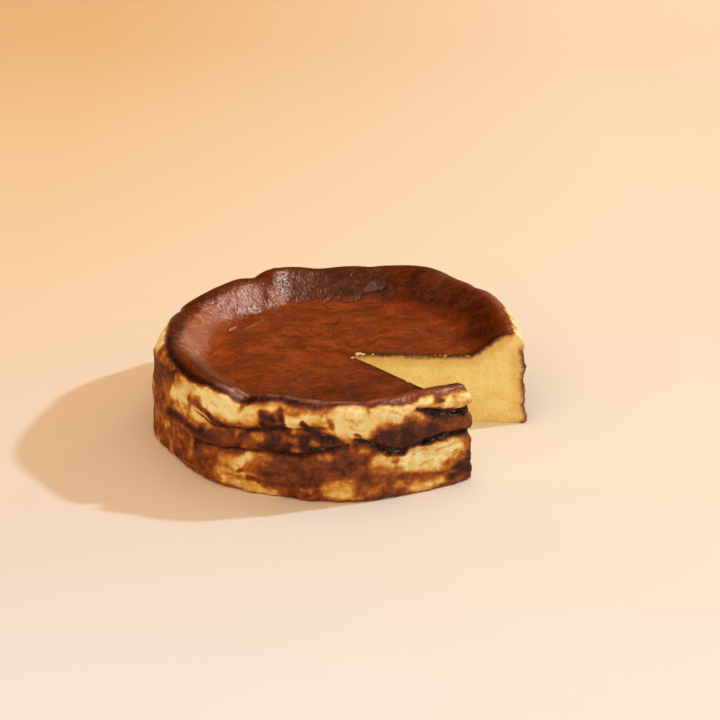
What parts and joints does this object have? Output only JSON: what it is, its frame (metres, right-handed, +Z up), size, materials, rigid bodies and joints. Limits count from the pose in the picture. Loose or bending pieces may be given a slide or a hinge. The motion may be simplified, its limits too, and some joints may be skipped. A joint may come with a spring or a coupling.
{
  "type": "basque cheesecake",
  "caption": "Deep round burnt cheesecake with a browned, sunken top, a crumpled wall marbled by baking paper, and a wedge cut out to show pale custard.",
  "frame": {"origin": "on the cake's axis, in the flat plane that it stands on", "axes": "+Z up out of the browned top, +X along the middle of the gap left by the missing slice, +Y completes the right-handed set"},
  "size_m": [0.1949, 0.2058, 0.0547],
  "materials": {
    "baked_custard": null
  },
  "bodies": {
    "root": {"cheesecake": "baked_custard"}
  },
  "joints": []
}
